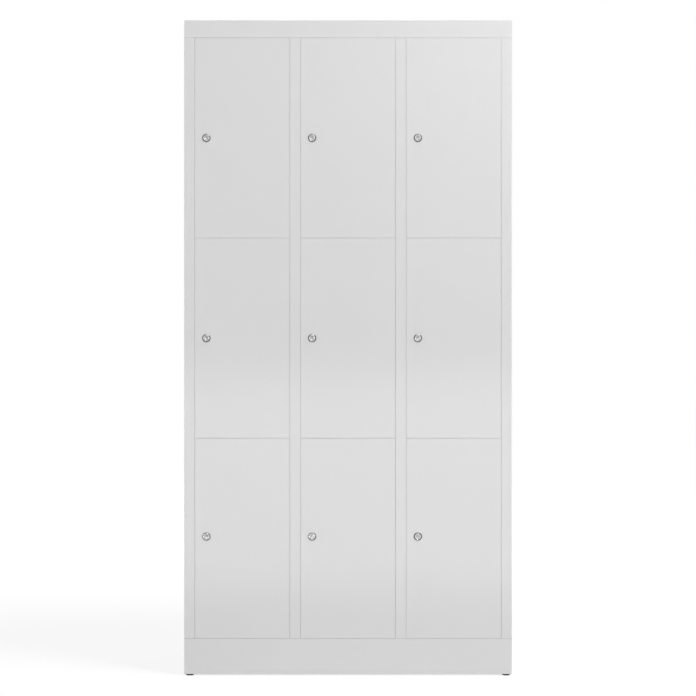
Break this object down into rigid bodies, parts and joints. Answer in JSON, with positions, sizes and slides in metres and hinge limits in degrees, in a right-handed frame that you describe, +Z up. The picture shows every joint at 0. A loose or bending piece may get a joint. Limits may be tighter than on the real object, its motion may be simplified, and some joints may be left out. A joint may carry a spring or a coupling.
{
  "type": "compartment locker",
  "caption": "Tall steel locker with rows of plain flush doors on concealed hinges, a chrome cam lock by each door's free edge, a plinth and small black feet.",
  "frame": {"origin": "on the floor under the middle of the locker's overall box", "axes": "+Z up, -Y out of the doors, +X to the right as seen from the front"},
  "size_m": [0.9, 0.453, 1.8],
  "materials": {
    "body_paint": "light grey powder coat, satin, fine texture",
    "door_paint": "light grey powder coat, satin, fine texture",
    "lock_chrome": "bright chrome plate",
    "lock_plug": "satin nickel plate, zinc-plated cam",
    "zinc_plate": "clear zinc plate",
    "foot_plastic": "black moulded plastic"
  },
  "bodies": {
    "cabinet": {"left_side_panel": "body_paint", "right_side_panel": "body_paint", "top_panel": "body_paint", "back_panel": "body_paint", "base_panel": "body_paint", "plinth": "body_paint", "centre_stile_left": "body_paint", "centre_stile_right": "body_paint", "partition_left": "body_paint", "partition_right": "body_paint", "shelf_upper_left": "body_paint", "shelf_lower_left": "body_paint", "shelf_upper_middle": "body_paint", "shelf_lower_middle": "body_paint", "shelf_upper_right": "body_paint", "shelf_lower_right": "body_paint", "foot_front_left": "foot_plastic", "foot_front_right": "foot_plastic", "foot_rear_left": "foot_plastic", "foot_rear_right": "foot_plastic"},
    "top_left_door": {"door_top_left": "door_paint", "hinge_rod_top_left": "zinc_plate", "lock_housing_top_left": "lock_chrome"},
    "top_left_cam": {"lock_cam_top_left": "lock_plug"},
    "top_middle_door": {"door_top_middle": "door_paint", "hinge_rod_top_middle": "zinc_plate", "lock_housing_top_middle": "lock_chrome"},
    "top_middle_cam": {"lock_cam_top_middle": "lock_plug"},
    "top_right_door": {"door_top_right": "door_paint", "hinge_rod_top_right": "zinc_plate", "lock_housing_top_right": "lock_chrome"},
    "top_right_cam": {"lock_cam_top_right": "lock_plug"},
    "middle_left_door": {"door_middle_left": "door_paint", "hinge_rod_middle_left": "zinc_plate", "lock_housing_middle_left": "lock_chrome"},
    "middle_left_cam": {"lock_cam_middle_left": "lock_plug"},
    "middle_middle_door": {"door_middle_middle": "door_paint", "hinge_rod_middle_middle": "zinc_plate", "lock_housing_middle_middle": "lock_chrome"},
    "middle_middle_cam": {"lock_cam_middle_middle": "lock_plug"},
    "middle_right_door": {"door_middle_right": "door_paint", "hinge_rod_middle_right": "zinc_plate", "lock_housing_middle_right": "lock_chrome"},
    "middle_right_cam": {"lock_cam_middle_right": "lock_plug"},
    "bottom_left_door": {"door_bottom_left": "door_paint", "hinge_rod_bottom_left": "zinc_plate", "lock_housing_bottom_left": "lock_chrome"},
    "bottom_left_cam": {"lock_cam_bottom_left": "lock_plug"},
    "bottom_middle_door": {"door_bottom_middle": "door_paint", "hinge_rod_bottom_middle": "zinc_plate", "lock_housing_bottom_middle": "lock_chrome"},
    "bottom_middle_cam": {"lock_cam_bottom_middle": "lock_plug"},
    "bottom_right_door": {"door_bottom_right": "door_paint", "hinge_rod_bottom_right": "zinc_plate", "lock_housing_bottom_right": "lock_chrome"},
    "bottom_right_cam": {"lock_cam_bottom_right": "lock_plug"}
  },
  "joints": [
    {"name": "top_left_door_hinge", "type": "hinge", "parent": "cabinet", "child": "top_left_door", "pos_m": [-0.17407, -0.2194, 1.47687], "axis": [0, 0, 1], "range_deg": [0, 105]},
    {"name": "top_left_cam_turn", "type": "hinge", "parent": "top_left_door", "child": "top_left_cam", "pos_m": [-0.3889, -0.2235, 1.47687], "axis": [0, 1, 0], "range_deg": [0, 90]},
    {"name": "top_middle_door_hinge", "type": "hinge", "parent": "cabinet", "child": "top_middle_door", "pos_m": [0.11637, -0.2194, 1.47687], "axis": [0, 0, 1], "range_deg": [0, 105]},
    {"name": "top_middle_cam_turn", "type": "hinge", "parent": "top_middle_door", "child": "top_middle_cam", "pos_m": [-0.09847, -0.2235, 1.47687], "axis": [0, 1, 0], "range_deg": [0, 90]},
    {"name": "top_right_door_hinge", "type": "hinge", "parent": "cabinet", "child": "top_right_door", "pos_m": [0.4068, -0.2194, 1.47687], "axis": [0, 0, 1], "range_deg": [0, 105]},
    {"name": "top_right_cam_turn", "type": "hinge", "parent": "top_right_door", "child": "top_right_cam", "pos_m": [0.19197, -0.2235, 1.47687], "axis": [0, 1, 0], "range_deg": [0, 90]},
    {"name": "middle_left_door_hinge", "type": "hinge", "parent": "cabinet", "child": "middle_left_door", "pos_m": [-0.17407, -0.2194, 0.927], "axis": [0, 0, 1], "range_deg": [0, 105]},
    {"name": "middle_left_cam_turn", "type": "hinge", "parent": "middle_left_door", "child": "middle_left_cam", "pos_m": [-0.3889, -0.2235, 0.927], "axis": [0, 1, 0], "range_deg": [0, 90]},
    {"name": "middle_middle_door_hinge", "type": "hinge", "parent": "cabinet", "child": "middle_middle_door", "pos_m": [0.11637, -0.2194, 0.927], "axis": [0, 0, 1], "range_deg": [0, 105]},
    {"name": "middle_middle_cam_turn", "type": "hinge", "parent": "middle_middle_door", "child": "middle_middle_cam", "pos_m": [-0.09847, -0.2235, 0.927], "axis": [0, 1, 0], "range_deg": [0, 90]},
    {"name": "middle_right_door_hinge", "type": "hinge", "parent": "cabinet", "child": "middle_right_door", "pos_m": [0.4068, -0.2194, 0.927], "axis": [0, 0, 1], "range_deg": [0, 105]},
    {"name": "middle_right_cam_turn", "type": "hinge", "parent": "middle_right_door", "child": "middle_right_cam", "pos_m": [0.19197, -0.2235, 0.927], "axis": [0, 1, 0], "range_deg": [0, 90]},
    {"name": "bottom_left_door_hinge", "type": "hinge", "parent": "cabinet", "child": "bottom_left_door", "pos_m": [-0.17407, -0.2194, 0.37713], "axis": [0, 0, 1], "range_deg": [0, 105]},
    {"name": "bottom_left_cam_turn", "type": "hinge", "parent": "bottom_left_door", "child": "bottom_left_cam", "pos_m": [-0.3889, -0.2235, 0.38213], "axis": [0, 1, 0], "range_deg": [0, 90]},
    {"name": "bottom_middle_door_hinge", "type": "hinge", "parent": "cabinet", "child": "bottom_middle_door", "pos_m": [0.11637, -0.2194, 0.37713], "axis": [0, 0, 1], "range_deg": [0, 105]},
    {"name": "bottom_middle_cam_turn", "type": "hinge", "parent": "bottom_middle_door", "child": "bottom_middle_cam", "pos_m": [-0.09847, -0.2235, 0.38213], "axis": [0, 1, 0], "range_deg": [0, 90]},
    {"name": "bottom_right_door_hinge", "type": "hinge", "parent": "cabinet", "child": "bottom_right_door", "pos_m": [0.4068, -0.2194, 0.37713], "axis": [0, 0, 1], "range_deg": [0, 105]},
    {"name": "bottom_right_cam_turn", "type": "hinge", "parent": "bottom_right_door", "child": "bottom_right_cam", "pos_m": [0.19197, -0.2235, 0.38213], "axis": [0, 1, 0], "range_deg": [0, 90]}
  ]
}
